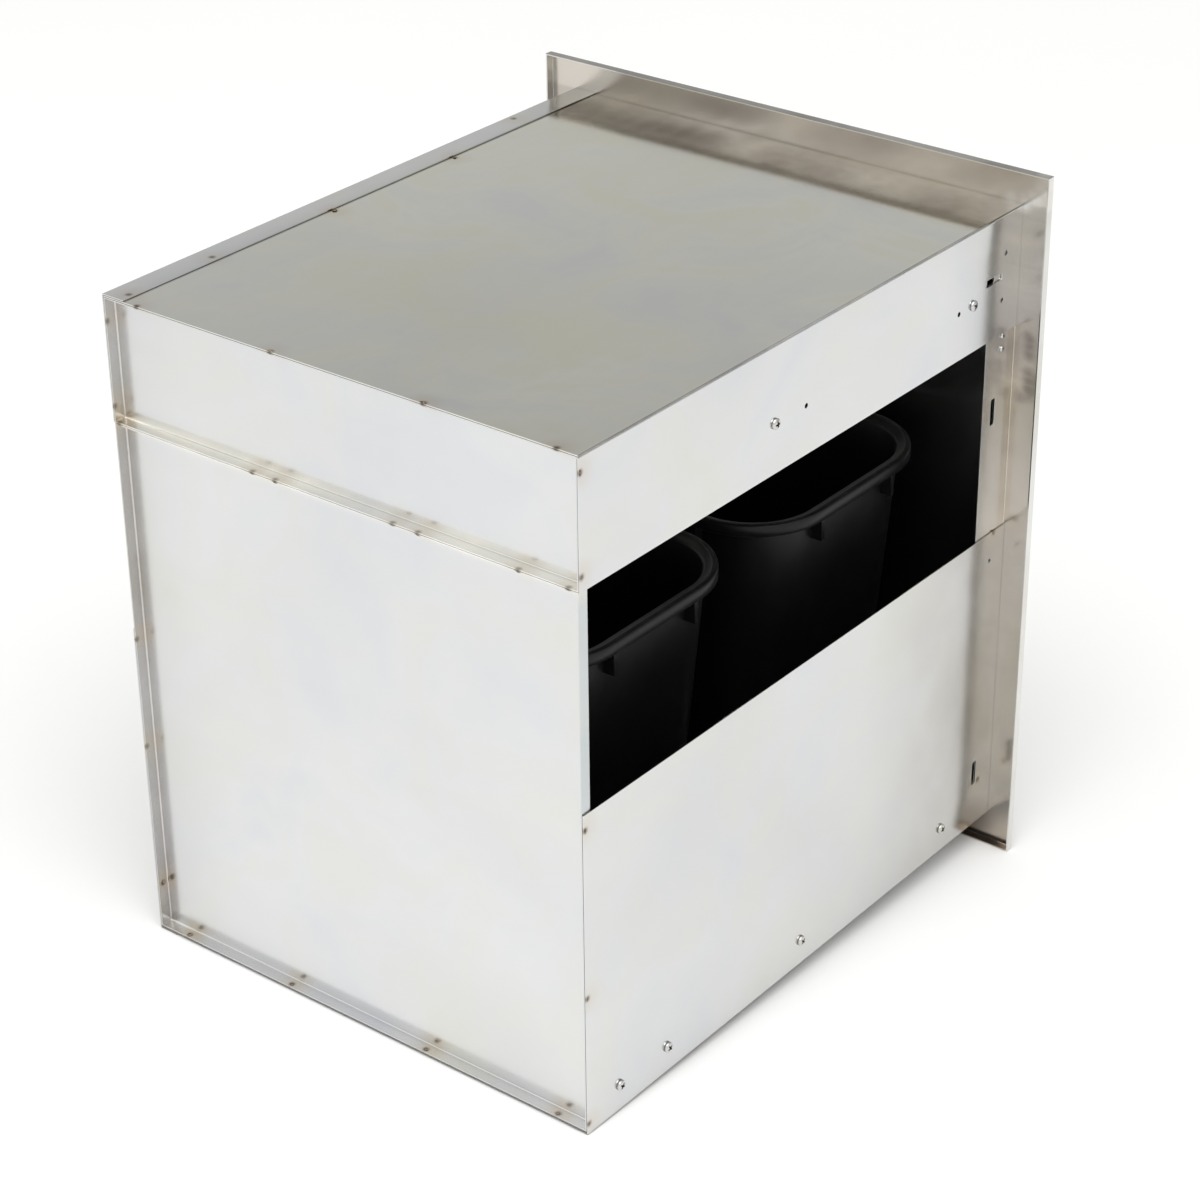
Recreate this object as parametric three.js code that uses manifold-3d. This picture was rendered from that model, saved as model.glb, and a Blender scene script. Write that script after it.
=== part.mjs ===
// Built-in double waste-bin drawer: a stainless sheet-metal cabinet with a front trim flange and an
// open window in each side, and a full-height drawer on ball-bearing slides that carries two bins.
//
// Millimetres. Inside the group called unit, x is 0 on the centre line, y is 0 at the front plane of
// the trim flange and grows to the rear, and z is 0 at the underside of the cabinet box. The unit is
// then moved so that the origin is at the middle of the bottom of the whole object's box.
import * as THREE from "three";
import { mergeVertices } from "three/addons/utils/BufferGeometryUtils.js";
import Module from "manifold-3d";

const wasm = await Module();
wasm.setup();

// ---- Driving dimensions ----------------------------------------------------------------------------

const GAP = 0.3; // clearance between pieces that touch
const SHEET = 1.2; // casing and drawer sheet
const TRIM_SHEET = 1.5; // sheet of the face frame and of the carriage

const BOX_WIDTH = 485;
const BOX_HEIGHT = 610;
const REAR_Y = 608.5; // rear rim of the casing

const FLANGE_SIDE = 28; // how far the trim flange stands out past the box
const FLANGE_TOP = 31;
const FLANGE_BOTTOM = 29.5;
const FLANGE_DEPTH = 9.5; // front plane to the rear edge of the flange's returns
const COLLAR_DEPTH = 48; // the face frame's sleeve inside the casing
const RELIEF_DEPTH = 0.4; // shallow step in the flange that takes the casing's front edges
const RELIEF_MARGIN = 0.7; // how far that step runs past the casing

const WINDOW_LOW = 305; // top edge of the lower side panels
const WINDOW_HIGH = 498; // bottom edge of the upper side panels
const PAN_RECESS = 11; // how far the rear panels lie inside the casing's rear rim
const TOP_LAP = 24; // width of the right side panel's lap over the top panel
const LOW_LAP = 20; // width of the lower side panels' bottom flanges

const SLIDE_LENGTH = 540;
const SLIDE_FRONT_Y = 52;
const SLIDE_HEIGHT = 43;
const SLIDE_DEPTH = 12.7;
const LOW_SLIDE_Z = 24.9;
const HIGH_SLIDE_Z = 541.8;
const CAGE_FRONT_Y = 186; // ball cages stay between the members at full travel
const CAGE_LENGTH = 272;
const BALL_RADIUS = 1.8;
const BALLS_PER_ROW = 4;

const PANEL_WIDTH = 512; // drawer front
const PANEL_HEIGHT = 642;
const PANEL_DEPTH = 19.5;
const PANEL_REAR_Y = -2; // rear edge of the outer pan, in front of the flange

const HANDLE_LENGTH = 420;
const HANDLE_RADIUS = 8;
const HANDLE_STANDOFF = 42; // panel face to bar axis
const HANDLE_Z = 548;
const POST_SPAN = 352;
const POST_RADIUS = 5.5;

const BIN_RIM_X = 190; // half sizes of the bin's rim
const BIN_RIM_Y = 130.5;
const BIN_RIM_CORNER = 73;
const BIN_HEIGHT = 380;
const BIN_PITCH = 286.5;
const BIN_FRONT_Y = 158.5; // centre of the front bin
const BIN_FLOOR_Z = 9.8;
const RIM_OVERHANG = 10;
const RIM_SKIRT = 11;
const BIN_WALL = 2.6;
const BIN_TAPER = 28; // inset of the wall from the rim to the floor

const SCREW_HEAD_RADIUS = 4.8;
const SCREW_HEAD_HEIGHT = 2.8;
const SCREW_SHANK_RADIUS = 2.1;
const SCREW_SHANK_LENGTH = 2.7; // through the side panel and the web of the slide
const SCREW_HOLE_RADIUS = 2.5;
const LOW_SCREWS_Y = [85.7, 309.7, 501.7, 565.7]; // 32 mm system: 224, 192 and 64 apart
const HIGH_SCREWS_Y = [75.5, 363.5]; // 288 apart
const CATCH_SCREW_Y = 22.5;
const CATCH_SCREWS_Z = [483, 495.4];
const SLOT_WIDTH = 6.5; // fixing slots in the sides
const PANEL_SLOT_FRONT = 30; // front end of the level slot in the side panel
const COLLAR_SLOT_FRONT = 41; // and in the collar
const LEVEL_SLOT_REAR = 56;

// ---- Derived places --------------------------------------------------------------------------------

const WALL_X = BOX_WIDTH / 2; // outer face of the side panels
const INNER_X = WALL_X - SHEET; // their inner face
const COLLAR_X = INNER_X - GAP; // outer face of the collar
const COLLAR_LOW = SHEET + GAP; // underside of the collar
const COLLAR_HIGH = BOX_HEIGHT - SHEET - GAP; // top of the collar
const CASING_FRONT_Y = TRIM_SHEET - RELIEF_DEPTH + GAP;
const SLIDE_X = INNER_X - GAP; // back of each slide's fixed member
const CARRIAGE_X = SLIDE_X - SLIDE_DEPTH - GAP; // outer face of the carriage
const PAN_BASE_Y = REAR_Y - PAN_RECESS; // rear face of the rear panels' recessed base
const PANEL_LOW = (BOX_HEIGHT - PANEL_HEIGHT) / 2;
const PANEL_HIGH = PANEL_LOW + PANEL_HEIGHT;
const PANEL_FRONT_Y = PANEL_REAR_Y - PANEL_DEPTH;
const LINER_REAR_Y = PANEL_REAR_Y - GAP;
const HANDLE_FRONT_Y = PANEL_FRONT_Y - HANDLE_STANDOFF - HANDLE_RADIUS;
const BOTTOM_Z = -FLANGE_BOTTOM;

// ---- Materials -------------------------------------------------------------------------------------

const steel = (colour, roughness) =>
  new THREE.MeshStandardMaterial({ color: colour, roughness, metalness: 1 });
const casingSteel = steel(0xd6d6d2, 0.38);
const trimSteel = steel(0xb3a99f, 0.42);
const frontSteel = steel(0xc9c8c4, 0.3);
const handleSteel = steel(0xcfcfcc, 0.22);
const slideZinc = steel(0xb9bcbf, 0.35);
const screwSteel = steel(0xc4c4c2, 0.25);
const blackPlastic = new THREE.MeshStandardMaterial({
  color: 0x17171a,
  roughness: 0.55,
  metalness: 0,
});
const blackRubber = new THREE.MeshStandardMaterial({
  color: 0x101010,
  roughness: 0.8,
  metalness: 0,
});
const cagePlastic = new THREE.MeshStandardMaterial({
  color: 0xd9d9d4,
  roughness: 0.5,
  metalness: 0,
});

// ---- Solids ----------------------------------------------------------------------------------------

// A closed three.js geometry as a manifold solid.
function solid(geometry) {
  const bare = geometry.clone();
  bare.deleteAttribute("normal");
  bare.deleteAttribute("uv");
  const merged = mergeVertices(bare, 1e-4);
  return new wasm.Manifold(
    new wasm.Mesh({
      numProp: 3,
      vertProperties: new Float32Array(merged.attributes.position.array),
      triVerts: new Uint32Array(merged.index.array),
    }),
  );
}

// A manifold solid as a three.js geometry.
function geometryOf(made) {
  const mesh = made.getMesh();
  const geometry = new THREE.BufferGeometry();
  geometry.setAttribute("position", new THREE.BufferAttribute(mesh.vertProperties, 3));
  geometry.setIndex(new THREE.BufferAttribute(mesh.triVerts, 1));
  geometry.computeVertexNormals();
  return geometry;
}

const join = (first, ...rest) => rest.reduce((sum, next) => sum.add(next), first);
const cut = (first, ...rest) => rest.reduce((left, next) => left.subtract(next), first);

// A box between two x, two y and two z values, given in either order.
function block(x0, x1, y0, y1, z0, z1) {
  const box = new THREE.BoxGeometry(Math.abs(x1 - x0), Math.abs(y1 - y0), Math.abs(z1 - z0));
  box.translate((x0 + x1) / 2, (y0 + y1) / 2, (z0 + z1) / 2);
  return solid(box);
}

// A rectangular ring lying across y, from its outer edges and its wall.
function ring(halfWidth, low, high, wall, y0, y1) {
  const outside = block(-halfWidth, halfWidth, y0, y1, low, high);
  const inner = halfWidth - wall;
  return cut(outside, block(-inner, inner, y0 - 1, y1 + 1, low + wall, high - wall));
}

// A round bar along one axis, centred on a point.
function bar(axis, radius, length, x, y, z, sides = 16) {
  const rod = new THREE.CylinderGeometry(radius, radius, length, sides);
  if (axis === "x") rod.rotateZ(Math.PI / 2);
  if (axis === "z") rod.rotateX(Math.PI / 2);
  rod.translate(x, y, z);
  return solid(rod);
}

// A slot through a side panel, long along y or z, as a cutter across x.
function slotCutter(x, y, z, alongY, alongZ) {
  const width = Math.min(alongY, alongZ);
  const reach = 8;
  const body = block(x - reach, x + reach, y - alongY / 2, y + alongY / 2, z - alongZ / 2, z + alongZ / 2);
  const endY = alongY > alongZ ? alongY / 2 : 0;
  const endZ = alongZ > alongY ? alongZ / 2 : 0;
  return join(
    body,
    bar("x", width / 2, 2 * reach, x, y - endY, z - endZ, 12),
    bar("x", width / 2, 2 * reach, x, y + endY, z + endZ, 12),
  );
}

// A profile given as [x, z] points, carried along y.
function alongY(points, y0, y1) {
  const shape = new THREE.Shape(points.map(([x, z]) => new THREE.Vector2(x, z)));
  const made = new THREE.ExtrudeGeometry(shape, { depth: y1 - y0, bevelEnabled: false });
  made.rotateX(Math.PI / 2);
  made.translate(0, y1, 0);
  return solid(made);
}

function mesh(name, made, material) {
  const piece = new THREE.Mesh(geometryOf(made), material);
  piece.name = name;
  return piece;
}

const SIDES = [
  ["left", -1],
  ["right", 1],
];

// ---- Casing ----------------------------------------------------------------------------------------

// Holes in a side wall near the front. They pass through the side panel and the collar behind it, and
// the level slot starts further back in the collar than in the panel.
function frontHoles(side, levelSlotFront) {
  const x = side * WALL_X;
  const half = SLOT_WIDTH / 2;
  const levelRun = LEVEL_SLOT_REAR - levelSlotFront - SLOT_WIDTH;
  return [
    slotCutter(x, levelSlotFront + half + levelRun / 2, 553.6, levelRun, SLOT_WIDTH),
    slotCutter(x, 31.5, 426, SLOT_WIDTH, 18.5), // fixing slot, upright, in the collar beside the window
    slotCutter(x, 31.2, 57.6, SLOT_WIDTH, 17.5), // fixing slot, upright, near the bottom
    bar("x", 2.3, 16, x, 26, 573, 12),
    bar("x", 2.3, 16, x, 28.8, 530.8, 12),
    bar("x", 2, 16, x, 24.4, 277.2, 12),
    bar("x", SCREW_HOLE_RADIUS - 1, 16, x, CATCH_SCREW_Y, CATCH_SCREWS_Z[0], 10),
    bar("x", SCREW_HOLE_RADIUS - 1, 16, x, CATCH_SCREW_Y, CATCH_SCREWS_Z[1], 10),
  ];
}

function faceFrame() {
  const halfWidth = WALL_X + FLANGE_SIDE;
  const low = -FLANGE_BOTTOM;
  const high = BOX_HEIGHT + FLANGE_TOP;
  const web = block(-halfWidth, halfWidth, 0, TRIM_SHEET, low, high);
  const reliefHalf = WALL_X + RELIEF_MARGIN;
  const reliefHigh = BOX_HEIGHT + GAP + SHEET + RELIEF_MARGIN;
  const reliefFront = TRIM_SHEET - RELIEF_DEPTH;
  const relief = block(-reliefHalf, reliefHalf, reliefFront, TRIM_SHEET + 1, -RELIEF_MARGIN, reliefHigh);
  const returns = ring(halfWidth, low, high, TRIM_SHEET, 0, FLANGE_DEPTH);
  const collar = ring(COLLAR_X, COLLAR_LOW, COLLAR_HIGH, TRIM_SHEET, 0, COLLAR_DEPTH);
  const inner = COLLAR_X - TRIM_SHEET;
  const opening = block(-inner, inner, -1, TRIM_SHEET + 1, COLLAR_LOW + TRIM_SHEET, COLLAR_HIGH - TRIM_SHEET);
  const holes = SIDES.flatMap(([, side]) => frontHoles(side, COLLAR_SLOT_FRONT));
  return cut(join(cut(web, relief), returns, collar), opening, ...holes);
}

function topPanel() {
  return block(-WALL_X, COLLAR_X, CASING_FRONT_Y, REAR_Y, BOX_HEIGHT - SHEET, BOX_HEIGHT);
}

function screwHoles(side, z, places) {
  return places.map((y) => bar("x", SCREW_HOLE_RADIUS, 8, side * (WALL_X - SHEET / 2), y, z, 12));
}

// The left panel's top flange lies under the top panel, and the right one's laps over it.
function upperSidePanel(side) {
  const lapsOver = side > 0;
  const top = lapsOver ? BOX_HEIGHT + GAP + SHEET : BOX_HEIGHT - SHEET - GAP;
  const flangeFront = lapsOver ? CASING_FRONT_Y : COLLAR_DEPTH + GAP;
  const flangeRear = lapsOver ? REAR_Y : PAN_BASE_Y - SHEET - GAP;
  const wall = block(side * INNER_X, side * WALL_X, CASING_FRONT_Y, REAR_Y, WINDOW_HIGH, top);
  const flange = block(side * WALL_X, side * (WALL_X - TOP_LAP), flangeFront, flangeRear, top - SHEET, top);
  const spare = [
    bar("x", 2, 8, side * WALL_X, 97.3, HIGH_SLIDE_Z - 0.6, 12),
    bar("x", 2, 8, side * WALL_X, 321, HIGH_SLIDE_Z - 0.6, 12),
  ];
  const front = frontHoles(side, PANEL_SLOT_FRONT);
  return cut(join(wall, flange), ...front, ...screwHoles(side, HIGH_SLIDE_Z, HIGH_SCREWS_Y), ...spare);
}

function lowerSidePanel(side) {
  const wall = block(side * INNER_X, side * WALL_X, CASING_FRONT_Y, REAR_Y, 0, WINDOW_LOW);
  const flange = block(side * WALL_X, side * (WALL_X - LOW_LAP), CASING_FRONT_Y, REAR_Y, 0, SHEET);
  const front = frontHoles(side, PANEL_SLOT_FRONT);
  return cut(join(wall, flange), ...front, ...screwHoles(side, LOW_SLIDE_Z, LOW_SCREWS_Y));
}

function bottomPanel() {
  const low = SHEET + GAP;
  return block(-COLLAR_X, COLLAR_X, COLLAR_DEPTH + GAP, REAR_Y, low, low + SHEET);
}

// A rear panel: a flat base set inside the casing, with four flanges that stand out to its rim.
function rearPan(low, high) {
  const base = block(-COLLAR_X, COLLAR_X, PAN_BASE_Y - SHEET, PAN_BASE_Y, low, high);
  return join(base, ring(COLLAR_X, low, high, SHEET, PAN_BASE_Y - SHEET, REAR_Y));
}

// ---- Slides ----------------------------------------------------------------------------------------

// Profiles are [depth from the wall, height] and are turned to face the centre line on each side.
function slideProfile(side, z, points) {
  const placed = points.map(([depth, height]) => [side * (SLIDE_X - depth), z + height]);
  return side > 0 ? placed.reverse() : placed;
}

// A channel whose web is at one depth and whose flanges reach to another.
function channel(webDepth, flangeDepth, half, thickness = SHEET) {
  const inner = webDepth < flangeDepth ? webDepth + thickness : webDepth - thickness;
  const points = [
    [webDepth, -half],
    [flangeDepth, -half],
    [flangeDepth, -half + thickness],
    [inner, -half + thickness],
    [inner, half - thickness],
    [flangeDepth, half - thickness],
    [flangeDepth, half],
    [webDepth, half],
  ];
  return webDepth < flangeDepth ? points : points.reverse();
}

const OUTER_HALF = SLIDE_HEIGHT / 2;
const OUTER_RACE = OUTER_HALF - SHEET; // inner face of the fixed member's flanges
const MIDDLE_HALF = OUTER_RACE - 2 * BALL_RADIUS - GAP;
const MIDDLE_RACE = MIDDLE_HALF - SHEET;
const INNER_HALF = MIDDLE_RACE - 2 * BALL_RADIUS - GAP;
const OUTER_FLANGE = 9.6;
const OUTER_BALL = [5.2, OUTER_RACE - BALL_RADIUS - GAP / 2];
const INNER_BALL = [7.2, MIDDLE_RACE - BALL_RADIUS - GAP / 2];

function slideRun(side, z, points, front = SLIDE_FRONT_Y, length = SLIDE_LENGTH) {
  return alongY(slideProfile(side, z, points), front, front + length);
}

function slideOuter(side, z, screws) {
  const lip = 1.6;
  const lips = [-1, 1].map((end) =>
    block(
      side * (SLIDE_X - OUTER_FLANGE + SHEET),
      side * (SLIDE_X - OUTER_FLANGE),
      SLIDE_FRONT_Y,
      SLIDE_FRONT_Y + SLIDE_LENGTH,
      z + end * (OUTER_RACE - lip),
      z + end * (OUTER_RACE + SHEET / 2),
    ),
  );
  const body = join(slideRun(side, z, channel(0, OUTER_FLANGE, OUTER_HALF)), ...lips);
  const holes = screws.map((y) => bar("x", SCREW_HOLE_RADIUS, 6, side * SLIDE_X, y, z, 12));
  return cut(body, ...holes);
}

const slideMiddle = (side, z) => slideRun(side, z, channel(3, 9.4, MIDDLE_HALF));
const slideInner = (side, z) => slideRun(side, z, channel(SLIDE_DEPTH, 5.2, INNER_HALF));

// A thin strip beside the web, with two edges that hold a row of balls each.
function ballCage(side, z, webDepth, [ballDepth, ballHeight]) {
  const strip = 0.6;
  const edge = ballHeight + strip / 2;
  const cage = slideRun(
    side,
    z,
    channel(webDepth, ballDepth + 1.2, edge, strip),
    CAGE_FRONT_Y,
    CAGE_LENGTH,
  );
  const pitch = CAGE_LENGTH / BALLS_PER_ROW;
  const balls = [];
  for (let i = 0; i < BALLS_PER_ROW; i++)
    for (const end of [-1, 1]) {
      const ball = new THREE.SphereGeometry(BALL_RADIUS, 6, 5);
      ball.translate(side * (SLIDE_X - ballDepth), CAGE_FRONT_Y + pitch * (i + 0.5), z + end * ballHeight);
      balls.push(solid(ball));
    }
  return join(cage, ...balls);
}

// ---- Screws ----------------------------------------------------------------------------------------

// A pan-head screw whose shank points inwards through a side wall.
function sideScrew(side, y, z) {
  const head = SCREW_HEAD_RADIUS;
  const height = SCREW_HEAD_HEIGHT;
  const profile = [
    [0, -SCREW_SHANK_LENGTH],
    [SCREW_SHANK_RADIUS, -SCREW_SHANK_LENGTH],
    [SCREW_SHANK_RADIUS, GAP],
    [head, GAP],
    [head, height * 0.45 + GAP],
    [head * 0.72, height * 0.85 + GAP],
    [0, height + GAP],
  ].map(([r, h]) => new THREE.Vector2(r, h));
  const screw = new THREE.LatheGeometry(profile, 14);
  screw.rotateZ(side > 0 ? -Math.PI / 2 : Math.PI / 2);
  screw.translate(side * WALL_X, y, z);
  return solid(screw);
}

// ---- Magnetic catch --------------------------------------------------------------------------------

const CATCH_LOW = 478;
const CATCH_HIGH = 499;
const STRIKE_REAR_Y = 7.2;

function catchBody() {
  const x0 = -(COLLAR_X - TRIM_SHEET - GAP);
  const body = block(x0, x0 + 8.5, STRIKE_REAR_Y + GAP, 38, CATCH_LOW, CATCH_HIGH);
  const sockets = CATCH_SCREWS_Z.map((z) => bar("x", 1.7, 8, x0, CATCH_SCREW_Y, z, 10));
  return cut(body, ...sockets);
}

// A bent strip on the back of the drawer front, whose crown meets the magnet.
function catchStrike() {
  const x0 = -(COLLAR_X - TRIM_SHEET - 1);
  const x1 = x0 + 8;
  const crown = block(x0, x1, STRIKE_REAR_Y - TRIM_SHEET, STRIKE_REAR_Y, CATCH_LOW, CATCH_HIGH);
  const legs = [CATCH_LOW, CATCH_HIGH - TRIM_SHEET].map((z) =>
    block(x0, x1, PANEL_REAR_Y, STRIKE_REAR_Y, z, z + TRIM_SHEET),
  );
  return join(crown, ...legs);
}

// ---- Drawer ----------------------------------------------------------------------------------------

function frontOuterPan() {
  const half = PANEL_WIDTH / 2;
  const face = block(-half, half, PANEL_FRONT_Y, PANEL_FRONT_Y + SHEET, PANEL_LOW, PANEL_HIGH);
  const returns = ring(half, PANEL_LOW, PANEL_HIGH, SHEET, PANEL_FRONT_Y, PANEL_REAR_Y);
  const holes = [-1, 1].map((end) =>
    bar("y", SCREW_HOLE_RADIUS, 8, (end * POST_SPAN) / 2, PANEL_FRONT_Y, HANDLE_Z, 12),
  );
  return cut(join(face, returns), ...holes);
}

function frontLiner() {
  const inset = SHEET + GAP;
  const half = PANEL_WIDTH / 2 - inset;
  const low = PANEL_LOW + inset;
  const high = PANEL_HIGH - inset;
  const face = block(-half, half, LINER_REAR_Y - SHEET, LINER_REAR_Y, low, high);
  return join(face, ring(half, low, high, SHEET, PANEL_FRONT_Y + SHEET + GAP, LINER_REAR_Y));
}

function handleBar() {
  const tube = new THREE.CylinderGeometry(HANDLE_RADIUS, HANDLE_RADIUS, HANDLE_LENGTH - 4, 28);
  const caps = new THREE.CylinderGeometry(HANDLE_RADIUS - 1.5, HANDLE_RADIUS - 1.5, HANDLE_LENGTH, 28);
  const whole = [tube, caps].map((part) => {
    part.rotateZ(Math.PI / 2);
    part.translate(0, PANEL_FRONT_Y - HANDLE_STANDOFF, HANDLE_Z);
    return solid(part);
  });
  const flats = [-1, 1].map((end) =>
    bar("y", POST_RADIUS + GAP, 10, (end * POST_SPAN) / 2, PANEL_FRONT_Y - HANDLE_STANDOFF + 10, HANDLE_Z, 20),
  );
  return cut(join(...whole), ...flats);
}

function handlePost(end) {
  const x = (end * POST_SPAN) / 2;
  const rear = PANEL_FRONT_Y - GAP;
  const front = PANEL_FRONT_Y - HANDLE_STANDOFF + 5 + GAP;
  const post = bar("y", POST_RADIUS, rear - front, x, (rear + front) / 2, HANDLE_Z, 20);
  const foot = bar("y", POST_RADIUS + 3, 3, x, rear - 1.5, HANDLE_Z, 20);
  return cut(join(post, foot), bar("y", SCREW_SHANK_RADIUS + 0.3, 24, x, rear, HANDLE_Z, 12));
}

// A screw through the drawer's outer pan into the handle's post.
function handleScrew(end) {
  const profile = [
    [0, 0],
    [4.4, 0],
    [4.4, 2],
    [SCREW_SHANK_RADIUS, 2.6],
    [SCREW_SHANK_RADIUS, 13],
    [0, 13],
  ].map(([r, h]) => new THREE.Vector2(r, h));
  const screw = new THREE.LatheGeometry(profile, 14);
  screw.rotateX(Math.PI);
  screw.translate((end * POST_SPAN) / 2, PANEL_FRONT_Y + SHEET + GAP + 2.6, HANDLE_Z);
  return solid(screw);
}

const TRAY_BASE_Z = BIN_FLOOR_Z - GAP - TRIM_SHEET;
const TRAY_WALL_HIGH = 60;
const TRAY_REAR_HIGH = 40;
const TRAY_REAR_Y = 585;

function binTray() {
  const x = CARRIAGE_X;
  const y = PANEL_REAR_Y;
  const inner = x - TRIM_SHEET;
  const floor = TRAY_BASE_Z + TRIM_SHEET;
  const whole = block(-x, x, y, TRAY_REAR_Y, TRAY_BASE_Z, TRAY_WALL_HIGH);
  const hollow = block(-inner, inner, y + TRIM_SHEET, TRAY_REAR_Y - TRIM_SHEET, floor, TRAY_WALL_HIGH + 1);
  const lowRear = block(-inner, inner, TRAY_REAR_Y - 5, TRAY_REAR_Y + 1, TRAY_REAR_HIGH, TRAY_WALL_HIGH + 1);
  return cut(whole, hollow, lowRear);
}

// A channel across the tray that keeps the feet of the two bins apart.
function binDivider() {
  const middle = BIN_FRONT_Y + BIN_PITCH / 2;
  const half = 22;
  const x = CARRIAGE_X - TRIM_SHEET - GAP;
  const top = 34;
  const crown = block(-x, x, middle - half, middle + half, top - TRIM_SHEET, top);
  const legs = [-1, 1].map((end) =>
    block(-x, x, middle + end * half, middle + end * (half - TRIM_SHEET), BIN_FLOOR_Z, top),
  );
  return join(crown, ...legs);
}

const ARM_HALF = 21;

// An angle from the back of the drawer front to the end of an upper slide.
function upperArm(side) {
  const low = HIGH_SLIDE_Z - ARM_HALF;
  const high = HIGH_SLIDE_Z + ARM_HALF;
  const x = side * CARRIAGE_X;
  const inner = side * (CARRIAGE_X - TRIM_SHEET);
  const plate = block(x, inner, PANEL_REAR_Y, SLIDE_FRONT_Y + SLIDE_LENGTH, low, high);
  const foot = block(x, side * (CARRIAGE_X - 20), PANEL_REAR_Y, PANEL_REAR_Y + TRIM_SHEET, low, high);
  return join(plate, foot);
}

// An upright angle on the back of the drawer front, between the tray and the upper arm.
function frontStile(side) {
  const low = TRAY_WALL_HIGH + 6;
  const high = HIGH_SLIDE_Z - ARM_HALF - 6;
  const x = side * CARRIAGE_X;
  const web = block(x, side * (CARRIAGE_X - 20), PANEL_REAR_Y, PANEL_REAR_Y + TRIM_SHEET, low, high);
  return join(web, block(x, side * (CARRIAGE_X - TRIM_SHEET), PANEL_REAR_Y, 18, low, high));
}

function bumper(side, z) {
  const profile = [
    [0, 0],
    [5, 0],
    [5, 0.8],
    [3.6, 1.7],
    [0, 1.7],
  ].map(([r, h]) => new THREE.Vector2(r, h));
  const dome = new THREE.LatheGeometry(profile, 16);
  dome.translate(side * 247.5, PANEL_REAR_Y, z);
  return solid(dome);
}

// ---- Bins ------------------------------------------------------------------------------------------

// A rounded rectangle carried up from z0 to z1, with half sizes given at each end. Its corners keep
// their share of the size.
function taperedBlock(z0, z1, [x0, y0], [x1, y1], corner) {
  const shape = new THREE.Shape();
  const r = corner;
  shape.moveTo(-x1 + r, -y1);
  shape.lineTo(x1 - r, -y1);
  shape.absarc(x1 - r, -y1 + r, r, -Math.PI / 2, 0, false);
  shape.lineTo(x1, y1 - r);
  shape.absarc(x1 - r, y1 - r, r, 0, Math.PI / 2, false);
  shape.lineTo(-x1 + r, y1);
  shape.absarc(-x1 + r, y1 - r, r, Math.PI / 2, Math.PI, false);
  shape.lineTo(-x1, -y1 + r);
  shape.absarc(-x1 + r, -y1 + r, r, Math.PI, 1.5 * Math.PI, false);
  const made = new THREE.ExtrudeGeometry(shape, {
    depth: z1 - z0,
    bevelEnabled: false,
    curveSegments: 7,
  });
  const at = made.attributes.position;
  for (let i = 0; i < at.count; i++) {
    const t = at.getZ(i) / (z1 - z0);
    at.setX(i, at.getX(i) * (1 - (1 - t) * (1 - x0 / x1)));
    at.setY(i, at.getY(i) * (1 - (1 - t) * (1 - y0 / y1)));
  }
  made.translate(0, 0, z0);
  return solid(made);
}

function bin(centreY) {
  const top = BIN_HEIGHT;
  const wall = [BIN_RIM_X - RIM_OVERHANG, BIN_RIM_Y - RIM_OVERHANG];
  const foot = wall.map((size) => size - BIN_TAPER);
  const less = (sizes, by) => sizes.map((size) => size - by);
  const corner = BIN_RIM_CORNER - RIM_OVERHANG;
  const shell = taperedBlock(0, top, foot, wall, corner);
  const hollow = taperedBlock(
    BIN_WALL,
    top + 1,
    less(foot, BIN_WALL),
    less(wall, BIN_WALL),
    corner - BIN_WALL,
  );
  const rimSizes = [BIN_RIM_X, BIN_RIM_Y];
  const rim = taperedBlock(top - RIM_SKIRT, top, rimSizes, rimSizes, BIN_RIM_CORNER);
  const under = taperedBlock(
    top - RIM_SKIRT - 1,
    top - BIN_WALL,
    less(rimSizes, BIN_WALL),
    less(rimSizes, BIN_WALL),
    BIN_RIM_CORNER - BIN_WALL,
  );
  const ribDepth = RIM_OVERHANG + 4;
  const ribLow = top - RIM_SKIRT - 20;
  const ribHalf = 2.4;
  const rib = (x0, x1, y0, y1) => block(x0, x1, y0, y1, ribLow, top - 1);
  const ribs = [-1, 1].flatMap((a) =>
    [-1, 1].flatMap((b) => [
      rib(a * (BIN_RIM_X - 1), a * (BIN_RIM_X - 1 - ribDepth), b * 53 - ribHalf, b * 53 + ribHalf),
      rib(b * 108 - ribHalf, b * 108 + ribHalf, a * (BIN_RIM_Y - 1), a * (BIN_RIM_Y - 1 - ribDepth)),
    ]),
  );
  const lip = cut(rim, under);
  const whole = cut(join(shell, lip, ...ribs), hollow);
  return whole.translate([0, centreY, BIN_FLOOR_Z]);
}

// ---- Assembly --------------------------------------------------------------------------------------

const unit = new THREE.Group();
const add = (name, made, material) => unit.add(mesh(name, made, material));

add("face_frame", faceFrame(), trimSteel);
add("top_panel", topPanel(), casingSteel);
add("bottom_panel", bottomPanel(), casingSteel);
add("rear_panel_lower", rearPan(2 * (SHEET + GAP), WINDOW_HIGH - GAP), casingSteel);
add("rear_panel_upper", rearPan(WINDOW_HIGH, BOX_HEIGHT - SHEET - GAP), casingSteel);

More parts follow.
